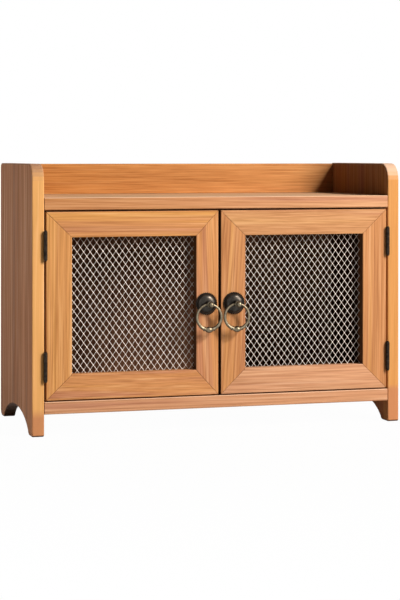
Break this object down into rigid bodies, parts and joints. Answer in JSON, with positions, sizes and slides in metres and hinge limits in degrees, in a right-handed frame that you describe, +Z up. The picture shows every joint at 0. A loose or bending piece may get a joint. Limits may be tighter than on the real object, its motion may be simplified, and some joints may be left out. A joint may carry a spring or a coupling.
{
  "type": "countertop storage cabinet",
  "caption": "Small stained-wood cabinet with mesh-panelled doors on ring pulls, an open tray with a back rail on top, and side panels that end in arched feet.",
  "frame": {"origin": "middle of the object's box, pulls included, at floor level under the feet", "axes": "+X to the right along the cabinet's width as seen from the front, +Y from the doors to the back, +Z up"},
  "size_m": [0.38, 0.1804, 0.2624],
  "materials": {
    "stained_wood": "orange-brown stain under satin lacquer, straight grain",
    "plywood": "thin stained plywood",
    "beech": "plain turned beech",
    "aged_bronze": "dark antique patina rubbed bright on the edges",
    "dark_iron": "dark bronzed steel",
    "zinc_mesh": "thin galvanised expanded sheet",
    "steel": "plain zinc-plated steel",
    "brown_plastic": "moulded brown plastic"
  },
  "bodies": {
    "carcass": {"left_side_panel": "stained_wood", "right_side_panel": "stained_wood", "top_shelf": "stained_wood", "bottom_shelf": "stained_wood", "back_rail": "stained_wood", "back_panel": "plywood", "top_shelf_dowel_left_front": "beech", "top_shelf_dowel_left_back": "beech", "bottom_shelf_dowel_left_front": "beech", "bottom_shelf_dowel_left_back": "beech", "back_rail_dowel_left": "beech", "top_shelf_dowel_right_front": "beech", "top_shelf_dowel_right_back": "beech", "bottom_shelf_dowel_right_front": "beech", "bottom_shelf_dowel_right_back": "beech", "back_rail_dowel_right": "beech", "left_upper_hinge_panel_leaf": "dark_iron", "left_upper_hinge_pin": "dark_iron", "left_lower_hinge_panel_leaf": "dark_iron", "left_lower_hinge_pin": "dark_iron", "left_magnetic_catch": "brown_plastic", "right_upper_hinge_panel_leaf": "dark_iron", "right_upper_hinge_pin": "dark_iron", "right_lower_hinge_panel_leaf": "dark_iron", "right_lower_hinge_pin": "dark_iron", "right_magnetic_catch": "brown_plastic"},
    "left_door": {"left_door_top_rail": "stained_wood", "left_door_bottom_rail": "stained_wood", "left_door_hinge_stile": "stained_wood", "left_door_meeting_stile": "stained_wood", "left_door_top_bead": "stained_wood", "left_door_bottom_bead": "stained_wood", "left_door_hinge_bead": "stained_wood", "left_door_meeting_bead": "stained_wood", "left_upper_hinge_door_leaf": "dark_iron", "left_lower_hinge_door_leaf": "dark_iron", "left_door_mesh": "zinc_mesh", "left_pull_backplate": "aged_bronze", "left_pull_stud": "aged_bronze", "left_pull_nut": "steel", "left_strike_plate": "steel"},
    "left_ring": {"left_pull_ring": "aged_bronze"},
    "right_door": {"right_door_top_rail": "stained_wood", "right_door_bottom_rail": "stained_wood", "right_door_hinge_stile": "stained_wood", "right_door_meeting_stile": "stained_wood", "right_door_top_bead": "stained_wood", "right_door_bottom_bead": "stained_wood", "right_door_hinge_bead": "stained_wood", "right_door_meeting_bead": "stained_wood", "right_upper_hinge_door_leaf": "dark_iron", "right_lower_hinge_door_leaf": "dark_iron", "right_door_mesh": "zinc_mesh", "right_pull_backplate": "aged_bronze", "right_pull_stud": "aged_bronze", "right_pull_nut": "steel", "right_strike_plate": "steel"},
    "right_ring": {"right_pull_ring": "aged_bronze"}
  },
  "joints": [
    {"name": "left_door_hinge", "type": "hinge", "parent": "carcass", "child": "left_door", "pos_m": [-0.1771, -0.07293, 0.12535], "axis": [0, 0, -1], "range_deg": [0, 170]},
    {"name": "right_door_hinge", "type": "hinge", "parent": "carcass", "child": "right_door", "pos_m": [0.1771, -0.07293, 0.12535], "axis": [0, 0, 1], "range_deg": [0, 170]},
    {"name": "left_ring_pivot", "type": "hinge", "parent": "left_door", "child": "left_ring", "pos_m": [-0.01515, -0.08033, 0.12435], "axis": [-1, 0, 0], "range_deg": [-12, 150]},
    {"name": "right_ring_pivot", "type": "hinge", "parent": "right_door", "child": "right_ring", "pos_m": [0.01355, -0.08033, 0.12435], "axis": [-1, 0, 0], "range_deg": [-12, 150]}
  ]
}
